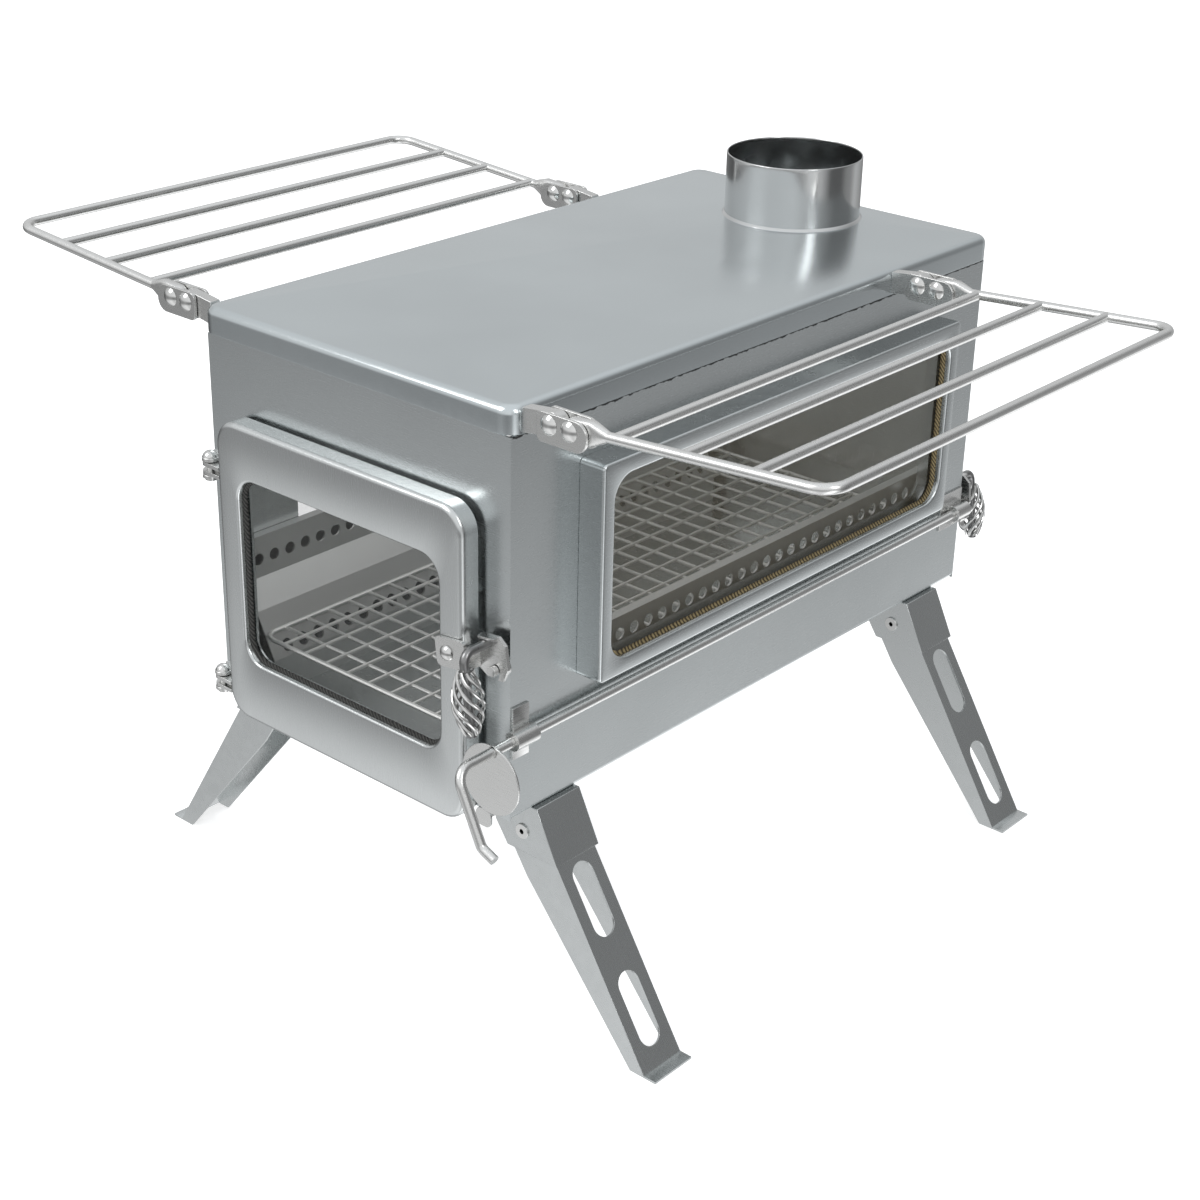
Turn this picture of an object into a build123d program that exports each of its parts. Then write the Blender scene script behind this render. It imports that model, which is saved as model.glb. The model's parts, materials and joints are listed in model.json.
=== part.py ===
from build123d import *
from math import atan2, cos, degrees, pi, radians, sin, sqrt, tan
import os

os.makedirs("parts", exist_ok=True)

# Folding tent stove of stainless sheet. Millimetres, +Z up, +Y to the rear, front door towards minus Y.
# Pieces are drawn with the floor's underside at height 0 and the firebox centred on X and Y, and
# are lifted onto the feet and centred over their own outline when they are written.

# Firebox
box_width = 204.0
box_length = 381.0
box_height = 207.9
sheet = 1.0
top_sheet = 1.5
skirt_drop = 13.3
skirt_gap = 0.8
lid_corner = 9.0
lid_edge = 4.5
panel_return = 6.0
seat = 0.05
running = 0.05
side_gap = 0.3

# Flue collar
flue_radius = 38.1
flue_sheet = 0.8
flue_rise = 34.6
flue_from_rear = 42.5
flue_bead = 1.4

# Doors
door_width = 169.0
door_depth = 11.0
door_gap = 2.5
door_corner = 14.0
door_edge = 3.0
front_door_bottom = -4.5
front_door_height = 162.5
rear_door_bottom = 8.0
rear_door_height = 67.0
door_window_side = 15.0
door_window_sill = 34.5
door_window_head = 28.0
window_corner = 12.0
lip_width = 2.0
lip_depth = 3.0
glass = 3.0
rope = 3.0
glass_hold = 5.0
doorway_inset = 8.5

# Hinges of the doors
hinge_reach = 10.5
hinge_out = 8.5
hinge_pin = 4.0
hinge_head = 8.0
hinge_lug = 2.0
hinge_height = 11.0
upper_hinge_from_top = 36.0
lower_hinge_from_bottom = 7.5
rear_hinge_from_edge = 12.0

# Latches
latch_from_edge = 7.8
front_latch_height = 86.0
rear_latch_height = 50.0
latch_tilt = 7.0
latch_lift = 18.0
latch_sheet = 1.8
latch_gap = 0.3
stud_pin = 5.0
stud_length = 9.0
stud_across = 21.8
stud_below = 4.5
notch_gap = 0.4
handle_out = 22.5
handle_radius = 8.0
handle_length = 38.0
handle_lean = 7.5
handle_wire = 1.8
handle_wires = 8
handle_twist = 215.0
shank = 4.5

# Side windows
frame_length = 294.0
frame_height = 110.9
frame_sill = 60.5
frame_forward = -2.0
frame_depth = 15.0
frame_border = 8.5
frame_corner = 3.0
frame_edge = 1.5

# Legs
leg_splay = 32.0
leg_reach = 132.8
leg_width = 27.6
leg_sheet = 1.2
leg_offset = 11.5
leg_round = 1.0
leg_foot_depth = 7.3
leg_inset = 7.0
leg_head_gap = 1.8
front_leg_inset = 31.8
rear_leg_inset = 35.7
slot_width = 14.0
slot_length = 39.0
slot_start = 44.0
slot_pitch = 58.0
foot_tab = 6.5
bracket_lean = 26.3
bracket_drop = 27.0
leg_pin = 5.0

# Side shelves
ear_reach = 17.2
ear_below = 3.9
ear_thick = 6.0
ear_radius = 5.5
link_span = 11.5
link_sheet = 1.6
link_height = 14.0
link_end = 10.0
link_root = 7.0
shelf_wire = 5.0
shelf_reach = 132.5
shelf_bar_start = 22.0
shelf_bar_pitch = 36.5
shelf_bars = 3
shelf_tilt = 4.0
shelf_corner = 11.0
shelf_front = 7.5
shelf_depth = 281.5
rivet_pin = 5.0
rivet_head = 9.5
rivet_rise = 2.2

# Crank rod
rod_pin = 5.0
rod_out = 4.0
rod_height = 45.5
rod_beyond = 1.5
crank_out = 39.5
crank_right = 16.0
crank_drop = 33.5
tip_right = 8.0
tip_drop = 3.3
disc_radius = 18.0
disc_sheet = 1.2
disc_out = 14.7
disc_hang = 15.1
disc_side = 1.5
ring_wall = 2.2
ring_length = 14.8
strap_length = 13.0

# Firebox insides
liner_top = 80.0
liner_gap = 5.5
upper_holes = 67.3
lower_holes = 24.8
grate_height = 34.0
grate_bar = 2.6
grate_pitch_x = 16.5
grate_pitch_y = 15.0
hole_pitch = 10.7
hole_size = 6.5
baffle_height = 184.0
baffle_length = 140.0

# Air slide
slide_width = 12.0
slide_length = 150.0
slide_sheet = 1.0
slide_travel = 12.0
slide_hole = 9.0
slide_pitch = 24.0
slide_tab = 10.0

# Worked out from the sizes above
half_x = box_width / 2
half_y = box_length / 2
wall_top = box_height - top_sheet
overhang = top_sheet + skirt_gap
skirt_x = half_x + overhang
skirt_y = half_y + overhang
half_door = door_width / 2
hinge_x = -half_door - hinge_reach
latch_x = half_door - latch_from_edge
flue_y = half_y - flue_from_rear
leg_x = half_x - leg_inset
leg_head = leg_offset + leg_round
pivot_drop = leg_head + leg_sheet + leg_head_gap
leg_cheek = leg_width / 2 + side_gap
splay = radians(leg_splay)
foot_z = -pivot_drop + leg_offset * sin(splay) - leg_reach * cos(splay)
front_leg_y = -half_y + front_leg_inset
rear_leg_y = half_y - rear_leg_inset
ear_x = skirt_x + ear_reach
ear_z = box_height - ear_below
link_x = ear_x + link_span
front_hinge_y = -half_y + shelf_front
rear_hinge_y = front_hinge_y + shelf_depth
link_half = ear_thick / 2 + side_gap
rod_x = half_x + rod_out


# Shared shapes

def block(x0, x1, y0, y1, z0, z1):
    """A plain block between two corners."""
    return Pos((x0 + x1) / 2, (y0 + y1) / 2, (z0 + z1) / 2) * Box(x1 - x0, y1 - y0, z1 - z0)


def slab_x(sketch, x0, x1):
    """A sketch in Y and Z, thickened from x0 to x1."""
    return extrude(Plane.YZ.offset(x0) * sketch, amount=x1 - x0)


def slab_y(sketch, y0, y1):
    """A sketch in X and Z, thickened from y0 to y1."""
    return extrude(Plane.XZ.offset(-y1) * sketch, amount=y1 - y0)


def slab_z(sketch, z0, z1):
    """A sketch in X and Y, thickened from z0 to z1."""
    return extrude(Pos(0, 0, z0) * sketch, amount=z1 - z0)


def outline(points):
    """A flat shape through points, wound so that it faces up."""
    area = sum(a[0] * b[1] - b[0] * a[1] for a, b in zip(points, points[1:] + points[:1]))
    return Polygon(*(points if area > 0 else points[::-1]), align=None)


def folded(points, thickness):
    """Section of a sheet folded along points, thickened to the left of the path."""
    sides = []
    for a, b in zip(points, points[1:]):
        length = sqrt((b[0] - a[0]) ** 2 + (b[1] - a[1]) ** 2)
        sides.append(((b[0] - a[0]) / length, (b[1] - a[1]) / length))
    back = []
    for i, point in enumerate(points):
        before = sides[max(i - 1, 0)]
        after = sides[min(i, len(sides) - 1)]
        nx = -(before[1] + after[1])
        nz = before[0] + after[0]
        scale = thickness / ((nx * -after[1] + nz * after[0]))
        back.append((point[0] + nx * scale, point[1] + nz * scale))
    return outline(list(points) + back[::-1])


def mirror_x(shapes):
    """The left hand twins of right hand pieces."""
    return [mirror(shape, about=Plane.YZ) for shape in shapes]


def cap(x, z, y, radius, rise, side):
    """A domed rivet head that stands on the plane y and bulges towards side."""
    ball = (radius ** 2 + rise ** 2) / (2 * rise)
    sphere = Pos(x, y + side * (rise - ball), z) * Sphere(ball)
    far = y + side * (rise + 1)
    return sphere & block(x - ball, x + ball, min(y, far), max(y, far), z - ball, z + ball)


def dome_rivet(x, z, y0, y1, pin, head, rise):
    """A rivet along Y with a domed head outside each end of y0 to y1."""
    body = slab_y(Pos(x, z) * Circle(pin / 2), y0, y1)
    return body + cap(x, z, y0, head / 2, rise, -1) + cap(x, z, y1, head / 2, rise, 1)


def tube_rivet(x, z, y0, y1, pin, head, rise, bore):
    """A hollow rivet along Y with a flat rolled head outside each end of y0 to y1."""
    body = slab_y(Pos(x, z) * Circle(pin / 2), y0, y1)
    heads = slab_y(Pos(x, z) * Circle(head / 2), y0 - rise, y0)
    heads += slab_y(Pos(x, z) * Circle(head / 2), y1, y1 + rise)
    return body + heads - slab_y(Pos(x, z) * Circle(bore / 2), y0 - rise - 1, y1 + rise + 1)


def arc_path(points, tangents):
    """A smooth path of arc pairs through points with the given directions."""
    edges = []
    for p0, p1, t0, t1 in zip(points, points[1:], tangents, tangents[1:]):
        chord = p1 - p0
        total = t0 + t1
        bend = 2 * (1 - t0.dot(t1))
        along = chord.dot(total)
        reach = (sqrt(along ** 2 + bend * chord.dot(chord)) - along) / bend
        q0 = p0 + t0 * reach
        q1 = p1 - t1 * reach
        joint = (q0 + q1) / 2
        edges.append(Edge.make_tangent_arc(p0, t0, joint))
        edges.append(Edge.make_tangent_arc(joint, (q1 - q0).normalized(), p1))
    return Wire(edges)


# Firebox

def corner_relief():
    """What is cut from the wall corners so that they pass inside the lid's rounded corners."""
    low = box_height - skirt_drop - 1
    inner = RectangleRounded(box_width, box_length, max(lid_corner - top_sheet, 1.0))
    whole = block(-skirt_x, skirt_x, -skirt_y, skirt_y, low, box_height)
    return whole - slab_z(inner, low, box_height)


def window_hole():
    """The opening in a side wall behind each window, cut through both walls."""
    length = frame_length - 2 * frame_border + 2 * lip_width
    height = frame_height - 2 * frame_border + 2 * lip_width
    middle = frame_sill + frame_height / 2
    sketch = Pos(frame_forward + 4, middle) * RectangleRounded(length, height, window_corner)
    return slab_x(sketch, -half_x - 1, half_x + 1)


def body_shell():
    """Floor and side walls bent from one sheet, with the air holes near the front."""
    outer = block(-half_x, half_x, -half_y + sheet, half_y - sheet, 0, wall_top)
    outer = fillet(outer.edges().filter_by(Axis.Y).group_by(Axis.Z)[0], 2.5)
    inner = block(-half_x + sheet, half_x - sheet, -half_y, half_y, sheet, box_height)
    inner = fillet(inner.edges().filter_by(Axis.Y).group_by(Axis.Z)[0], 1.5)
    holes = slab_z(air_holes(0), -1, sheet + 1)
    for x in slide_pins():
        holes += slab_z(Pos(x, slide_line()) * Circle(2 + seat), -1, sheet + 1)
    return outer - inner - window_hole() - corner_relief() - holes


def panel(bottom, height):
    """An end wall with a doorway and narrow side returns, at the front."""
    half_way = half_door - doorway_inset
    low = max(bottom + doorway_inset, 2 * sheet)
    high = bottom + height - doorway_inset
    plate = block(-half_x, half_x, -half_y, -half_y + sheet, 0, wall_top)
    way = Pos(0, (low + high) / 2) * RectangleRounded(2 * half_way, high - low, door_corner - 4)
    plate -= slab_y(way, -half_y - 1, -half_y + sheet + 1)
    inside = half_x - sheet
    side = block(inside - sheet, inside, -half_y + sheet, -half_y + sheet + panel_return, 4, wall_top - 2)
    return plate + side + mirror(side, about=Plane.YZ) - corner_relief()


def top_plate():
    """Cooking plate with its turned down skirt and the flue hole."""
    outer = slab_z(RectangleRounded(2 * skirt_x, 2 * skirt_y, lid_corner), box_height - skirt_drop, box_height)
    outer = fillet(outer.faces().sort_by(Axis.Z)[-1].edges(), lid_edge)
    inner_x = 2 * (skirt_x - top_sheet)
    inner_y = 2 * (skirt_y - top_sheet)
    inner = RectangleRounded(inner_x, inner_y, max(lid_corner - top_sheet, 1.0))
    inner = slab_z(inner, box_height - skirt_drop - 1, wall_top)
    round_in = max(min(lid_edge - top_sheet, skirt_gap), 0.3)
    inner = fillet(inner.faces().sort_by(Axis.Z)[-1].edges(), round_in)
    hole = Pos(0, flue_y) * Circle(flue_radius + flue_bead + 2 * seat)
    return outer - inner - slab_z(hole, wall_top - 1, box_height + 1)


def flue_collar():
    """Rolled collar that stands in the plate's hole."""
    ring = Circle(flue_radius) - Circle(flue_radius - flue_sheet)
    return slab_z(Pos(0, flue_y) * ring, wall_top, box_height + flue_rise)


def flue_weld():
    """Weld bead that fills the gap between the collar and the plate and rises up the collar."""
    r0 = flue_radius + seat
    section = outline([(r0, -top_sheet), (r0 + flue_bead, -top_sheet), (r0 + flue_bead, 0), (r0, flue_bead)])
    return Pos(0, flue_y, box_height) * revolve(Plane.XZ * section, axis=Axis.Z)


def smoke_baffle():
    """Plate under the flue that sends the smoke forward."""
    half = half_x - sheet - side_gap
    rear = half_y - sheet - panel_return - side_gap
    return block(-half, half, rear - baffle_length, rear, baffle_height, baffle_height + sheet)


def baffle_rails():
    """Two angles on the side walls that carry the baffle."""
    inside = half_x - sheet
    low = baffle_height - 8
    legs = [(inside, low), (inside, baffle_height), (inside - 8, baffle_height)]
    rear = half_y - sheet - panel_return - 2
    rail = slab_y(folded(legs, sheet), rear - baffle_length + 20, rear)
    return [rail] + mirror_x([rail])


def liner_path():
    """Inner face of the right liner in X and Z, from its top down to the floor."""
    side = half_x - sheet - liner_gap
    return [
        (side + liner_gap - side_gap, liner_top),
        (side, liner_top),
        (side, 57.0),
        (side - 10.0, 44.0),
        (side - 22.5, 20.0),
        (side - 22.5, sheet),
        (side - 14.5, sheet),
    ]


def liners():
    """Bent side plates that stand on the floor, with two rows of air holes."""
    path = liner_path()
    half = half_y - sheet - panel_return - 1
    plate = slab_y(folded(path, sheet), -half, half)
    side = path[1][0]
    count = int((2 * half - 12) / hole_pitch)
    start = -count * hole_pitch / 2
    row = Sketch() + [Pos(start + i * hole_pitch, 0) * Circle(hole_size / 2) for i in range(count + 1)]
    plate -= slab_x(Pos(0, upper_holes) * row, side - 5, side + 5)
    plate -= slab_x(Pos(0, lower_holes) * row, side - 24, side - 8)
    return plate


def grate():
    """Wire grate that lies between the slopes of the liners."""
    path = liner_path()
    (x0, z0), (x1, z1) = path[3], path[4]
    low = grate_height - grate_bar / 2
    half = x1 + (x0 - x1) * (low - z1) / (z0 - z1) - 0.2
    half_len = half_y - sheet - 3.5
    columns = int((2 * half - 2 * grate_bar) / grate_pitch_x) + 1
    rows = int((2 * half_len - 2 * grate_bar) / grate_pitch_y) + 1
    step_x = (2 * half - grate_bar) / columns
    step_y = (2 * half_len - grate_bar) / rows
    gap = Rectangle(step_x - grate_bar, step_y - grate_bar)
    left = -half + grate_bar / 2 + step_x / 2
    near = -half_len + grate_bar / 2 + step_y / 2
    gaps = [Pos(left + i * step_x, near + j * step_y) * gap for i in range(columns) for j in range(rows)]
    face = RectangleRounded(2 * half, 2 * half_len, grate_bar) - gaps
    return slab_z(face, low, low + grate_bar)


# Air slide under the front of the floor

def slide_line():
    """Y of the middle of the air slide."""
    return -half_y + sheet + slide_width / 2 + 1


def air_holes(shift):
    """Row of air holes, moved along X by shift."""
    y = slide_line()
    spots = [Pos(i * slide_pitch + shift, y) for i in range(-2, 3)]
    return Sketch() + [spot * Circle(slide_hole / 2) for spot in spots]


def air_slide():
    """Sliding strip with its own row of holes and a tab beside the door."""
    y0 = slide_line() - slide_width / 2
    top = -side_gap
    right = half_door + 7
    strip = block(-slide_length / 2, right, y0, y0 + slide_width, top - slide_sheet, top)
    strip -= slab_z(air_holes(-slide_travel), top - slide_sheet - 1, top + 1)
    for x in slide_pins():
        slot = SlotOverall(slide_travel + 4 + 2 * running, 4 + 2 * running)
        strip -= slab_z(Pos(x + slide_travel / 2, slide_line()) * slot, top - slide_sheet - 1, top + 1)
    reach = -half_y - 0.9
    strip += block(right - slide_tab, right, reach, y0, top - slide_sheet, top)
    tab = RectangleRounded(slide_tab, 9.5, slide_tab * 0.35)
    return strip + slab_y(Pos(right - slide_tab / 2, -3.25) * tab, reach - slide_sheet, reach)


def slide_pins():
    """X of the two rivets that guide the air slide."""
    return (-slide_length / 2 + 8, 3 * slide_pitch - 12)


def slide_rivets():
    """Shouldered rivets under the floor that the air slide hangs on."""
    y = slide_line()
    low = -2 * side_gap - slide_sheet
    rivets = []
    for x in slide_pins():
        pin = Pos(x, y, (sheet + low) / 2) * Cylinder(2, sheet - low)
        head = Pos(x, y, low - 0.75) * Cylinder(4, 1.5)
        rivets.append(pin + head)
    return rivets


# Doors. They are drawn for the front with the panel's face at y 0 and moved to each end after.

def pressed_pan(width, height, bottom, depth, gap, corner, edge):
    """A pressed pan that opens towards the wall, a gap in front of it."""
    front = -gap - depth
    middle = bottom + height / 2
    outer = slab_y(Pos(0, middle) * RectangleRounded(width, height, corner), front, -gap)
    outer = fillet(outer.faces().sort_by(Axis.Y)[0].edges(), edge)
    inner = RectangleRounded(width - 2 * sheet, height - 2 * sheet, corner - sheet)
    inner = slab_y(Pos(0, middle) * inner, front + sheet, 1)
    inner = fillet(inner.faces().sort_by(Axis.Y)[0].edges(), max(edge - sheet, 0.3))
    return outer - inner


def with_window(pan, x, z, width, height, front):
    """Cuts a window into a pan's front and adds its rolled lip."""
    wide = RectangleRounded(width + 2 * lip_width, height + 2 * lip_width, window_corner + lip_width)
    clear = RectangleRounded(width, height, window_corner)
    lip = slab_y(Pos(x, z) * (wide - clear), front, front + lip_depth)
    lip = fillet(lip.faces().sort_by(Axis.Y)[0].inner_wires()[0].edges(), lip_width - 0.4)
    return pan - slab_y(Pos(x, z) * wide, front - 1, front + sheet + 1) + lip


def window_rope(x, z, width, height, front):
    """Rope that the glass is bedded on, round the window's edge."""
    y = front + lip_depth + 0.1 + rope / 2
    path = (Plane.XZ.offset(-y) * (Pos(x, z) * RectangleRounded(width, height, window_corner))).wires()[0]
    start = Plane(origin=path @ 0, z_dir=path % 0)
    return sweep(start * Circle(rope / 2), path=path)


def window_glass(x, z, width, height, front):
    """Flat heatproof glass behind the rope."""
    y = front + lip_depth + rope + 0.2
    pane = RectangleRounded(width + 2 * glass_hold, height + 2 * glass_hold, window_corner)
    return slab_y(Pos(x, z) * pane, y, y + glass)


def door_latch_hole(z):
    """Hole in the door for the latch rivet."""
    return slab_y(Pos(latch_x, z) * Circle(2 + running), -door_gap - door_depth - 1, 0)


def door_pan(bottom, height, latch_z, window):
    """Pressed door, with or without a window."""
    pan = pressed_pan(door_width, height, bottom, door_depth, door_gap, door_corner, door_edge)
    if window:
        pan = with_window(pan, *door_window())
    pan -= door_latch_hole(latch_z)
    return pan


def door_window():
    """Centre, size and front plane of the door's window."""
    width = door_width - 2 * door_window_side
    height = front_door_height - door_window_sill - door_window_head
    middle = front_door_bottom + door_window_sill + height / 2
    return 0, middle, width, height, -door_gap - door_depth


def retainer_spots():
    """Places of the studs that hold the glass retainer."""
    x, z, width, height, front = door_window()
    dx = width / 2 + glass_hold + 3.7
    dz = height / 2 + glass_hold + 3.7
    sides = [(-dx, z - 25), (-dx, z + 25), (dx, z - 25), (dx, z + 32)]
    return sides + [(-35, z - dz), (35, z - dz), (-35, z + dz), (35, z + dz)]


def glass_retainer():
    """Sheet frame behind the door glass, held by eight studs."""
    x, z, width, height, front = door_window()
    y = front + lip_depth + rope + 0.2 + glass
    edge = glass_hold + 6.5
    ring = RectangleRounded(width + 2 * edge, height + 2 * edge, window_corner)
    ring -= RectangleRounded(width + 4, height + 4, window_corner)
    frame = slab_y(Pos(x, z) * ring, y, y + sheet)
    for sx, sz in retainer_spots():
        frame -= slab_y(Pos(sx, sz) * Circle(1.5 + seat), y - 1, y + sheet + 1)
    return frame


def retainer_studs():
    """Studs on the back of the door's front with their nuts on the retainer."""
    front = -door_gap - door_depth
    y = front + lip_depth + rope + 0.2 + glass + sheet
    studs = []
    for sx, sz in retainer_spots():
        stud = slab_y(Pos(sx, sz) * Circle(1.5), front + sheet, y + 1.2)
        studs.append(stud + slab_y(Pos(sx, sz) * RegularPolygon(2.9, 6), y, y + 1.2))
    return studs


# Hinges

def hinge_body(z):
    """Hinge bracket on the panel: a flat back with two rounded lugs."""
    r = hinge_lug + 2.3
    back = block(hinge_x - 6, hinge_x + 6, -hinge_lug, 0, z, z + hinge_height)
    lug = Pos(hinge_x, -hinge_out) * Circle(r) + Pos(hinge_x, -hinge_out / 2) * Rectangle(2 * r, hinge_out)
    lugs = slab_z(lug, z, z + hinge_lug) + slab_z(lug, z + hinge_height - hinge_lug, z + hinge_height)
    hole = slab_z(Pos(hinge_x, -hinge_out) * Circle(hinge_pin / 2 + seat), z - 1, z + hinge_height + 1)
    return back + lugs - hole


def hinge_ear(z):
    """Ear on the door's side flange that turns between the lugs."""
    low = z + hinge_lug + side_gap
    high = z + hinge_height - hinge_lug - side_gap
    front = -door_gap - door_depth
    web = block(-half_door - sheet, -half_door, front + door_edge + 0.5, -door_gap - 0.5, low, high)
    round_end = Pos(hinge_x, -hinge_out) * Circle(4)
    arm = Pos(hinge_x + hinge_reach / 2, -hinge_out) * Rectangle(hinge_reach, 8) + round_end
    arm -= Pos(-half_door + 5, -hinge_out) * Rectangle(10, 20)
    ear = slab_z(arm, low, low + hinge_lug) + slab_z(arm, high - hinge_lug, high) + web
    return ear - slab_z(Pos(hinge_x, -hinge_out) * Circle(hinge_pin / 2 + running), z - 1, high + 1)


def hinge_pin_piece(z):
    """Pin with a domed head on top and a small head under the lower lug."""
    r = hinge_head / 2
    rise = 3.2
    ball = (r ** 2 + rise ** 2) / (2 * rise)
    top = z + hinge_height
    pin = Pos(hinge_x, -hinge_out, (z - 1.2 + top) / 2) * Cylinder(hinge_pin / 2, top - z + 1.2)
    head = Pos(hinge_x, -hinge_out, top + rise - ball) * Sphere(ball)
    head &= block(hinge_x - 9, hinge_x + 9, -hinge_out - 9, -hinge_out + 9, top, top + rise + 1)
    foot = Pos(hinge_x, -hinge_out, z - 0.6) * Cylinder(hinge_pin / 2 + 1.2, 1.2)
    return pin + head + foot


# Latch, drawn level round its rivet and then tilted to rest on the stud

def stud_in_lever():
    """The stud's place as the level lever sees it."""
    turn = radians(latch_tilt)
    x = stud_across * cos(turn) - stud_below * sin(turn)
    z = -stud_across * sin(turn) - stud_below * cos(turn)
    return x, z


def latch_lever(z):
    """Latch lever with a step round the door's edge and a hook over the stud."""
    front_y = -door_gap - door_depth - latch_gap
    rear_y = -door_gap - 1.7
    edge = latch_from_edge + 2.2
    steep = radians(latch_tilt + latch_lift)
    clear = latch_from_edge + 0.3
    top = 9.6
    cut_x = (clear + top * sin(steep)) / cos(steep)
    web_top = (edge * cos(steep) - clear) / sin(steep)
    stud_x, stud_z = stud_in_lever()
    radius = sqrt(stud_x ** 2 + stud_z ** 2)
    half = stud_pin / 2 + notch_gap
    nose = radius + half + 3.6
    front = RectangleRounded(edge + latch_sheet + 7, 14.5, 2.4)
    front = Pos((edge + latch_sheet - 7) / 2, 0.25) * front
    lever = slab_y(front, front_y - latch_sheet, front_y)
    lever += block(edge, edge + latch_sheet, front_y - latch_sheet, rear_y, -7, min(web_top, 7))
    rear = outline([
        (edge, -7), (edge, web_top), (cut_x, top), (nose - 4, top), (nose, top - 4),
        (nose, stud_z + 1), (nose - 3.5, stud_z - 5), (edge + 7, stud_z - 5),
    ])
    reach = radius + half
    sector = Circle(reach) - Circle(radius - half)
    low = degrees(atan2(stud_z, stud_x))
    far = 3 * reach
    wedge = outline([(0, 0), (far * cos(radians(low)), far * sin(radians(low))), (0, -far)])
    notch = (sector & wedge) + Pos(stud_x, stud_z) * Circle(half)
    lever += slab_y(rear - notch, rear_y - latch_sheet, rear_y)
    lever += block(cut_x + 1, nose - 4, rear_y - latch_sheet - 3, rear_y - latch_sheet, top - 1.2, top)
    lever -= slab_y(Circle(2 + running), front_y - latch_sheet - 1, front_y + 1)
    return Pos(latch_x, 0, z) * Rot(0, -latch_tilt, 0) * lever


def latch_rivet(z):
    """Domed rivet that the latch lever turns on."""
    front = -door_gap - door_depth
    return dome_rivet(latch_x, z, front - latch_gap - latch_sheet - 0.1, front + sheet, 4, 8, 2.4)


def latch_stud(z):
    """Plain stud on the panel that the hook drops over."""
    return slab_y(Pos(latch_x + stud_across, z - stud_below) * Circle(stud_pin / 2), -stud_length, 0)


def stud_washer(z):
    """Thick washer welded round the foot of the stud."""
    ring = Circle(stud_pin / 2 + 2) - Circle(stud_pin / 2 + seat)
    return slab_y(Pos(latch_x + stud_across, z - stud_below) * ring, -1.5, 0)


def handle_frame(z):
    """Bottom and top of the handle's axis, and the place where its shank meets the lever."""
    lean = radians(handle_lean)
    turn = radians(latch_tilt)
    up = 5.9
    x = latch_x + 18.4 * cos(turn) - up * sin(turn)
    top_z = z + 18.4 * sin(turn) + up * cos(turn)
    reach = handle_length + 2.5
    bottom = Vector(x + reach * sin(lean), -handle_out, top_z - reach * cos(lean))
    return bottom, Vector(x, -handle_out, top_z)


def handle_shank(z):
    """Round bar down the middle of the handle, bent back at the top onto the lever."""
    bottom, top = handle_frame(z)
    end = Vector(top.X, -door_gap - 1.7 - latch_sheet, top.Z)
    path = FilletPolyline(end, top, bottom, radius=shank + 0.6)
    bar = sweep(Plane(origin=path @ 0, z_dir=path % 0) * Circle(shank / 2), path=path)
    return bar


def handle_cage(z):
    """Bright wires that swell out and twist round the shank."""
    bottom, top = handle_frame(z)
    axis = (top - bottom).normalized()
    side = Vector(0, -1, 0)
    across = axis.cross(side)
    small = shank / 2 + handle_wire / 2 + 0.1
    large = handle_radius - handle_wire / 2
    length = handle_length - shank - 3
    spans = 6
    wires = []
    for k in range(handle_wires):
        points = []
        tangents = []
        for i in range(spans + 1):
            s = i / spans
            swell = large - small
            r = small + swell * sin(pi * s)
            slope = swell * pi * cos(pi * s)
            angle = 2 * pi * k / handle_wires - radians(handle_twist) * s
            out = side * cos(angle) + across * sin(angle)
            round_way = across * cos(angle) - side * sin(angle)
            points.append(bottom + axis * (2 + length * s) + out * r)
            tangent = axis * length + out * slope - round_way * (radians(handle_twist) * r)
            tangents.append(tangent.normalized())
        path = arc_path(points, tangents)
        start = Plane(origin=points[0], z_dir=tangents[0])
        wires.append(sweep(start * Circle(handle_wire / 2), path=path))
    return wires


# Side windows. They are drawn facing the front with the wall's face at y 0 and turned to the side.

def side_window():
    """Centre, size and front plane of a side window in its own drawing."""
    width = frame_length - 2 * frame_border
    height = frame_height - 2 * frame_border
    return 0, frame_sill + frame_height / 2, width, height, -frame_depth


def window_frame():
    """Deep pressed frame of a side window."""
    pan = pressed_pan(frame_length, frame_height, frame_sill, frame_depth, 0, frame_corner, frame_edge)
    pan = with_window(pan, *side_window())
    return pan & block(-frame_length, frame_length, -frame_depth - 1, 0, 0, box_height)


def window_retainer():
    """Sheet rim that stands on the wall and presses the glass forward."""
    x, z, width, height, front = side_window()
    y = front + lip_depth + rope + 0.2 + glass
    outer = RectangleRounded(width + 2 * lip_width + 2 * sheet, height + 2 * lip_width + 2 * sheet, window_corner)
    inner = RectangleRounded(width + 2 * lip_width, height + 2 * lip_width, window_corner - sheet)
    return slab_y(Pos(x, z) * (outer - inner), y, 0)


def to_right(shape):
    """Turns a window piece from the front to the right side wall."""
    return Pos(half_x, frame_forward + 4, 0) * Rot(0, 0, 90) * shape


# Legs, drawn for the right side in X and Z

def leg_frame():
    """Directions out of the leg's web and down along the leg."""
    return (cos(splay), sin(splay)), (sin(splay), -cos(splay))


def leg_point(u, t):
    """A point of the leg from its distance off the pivot and its distance down."""
    n, d = leg_frame()
    return leg_x + u * n[0] + t * d[0], -pivot_drop + u * n[1] + t * d[1]


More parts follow.
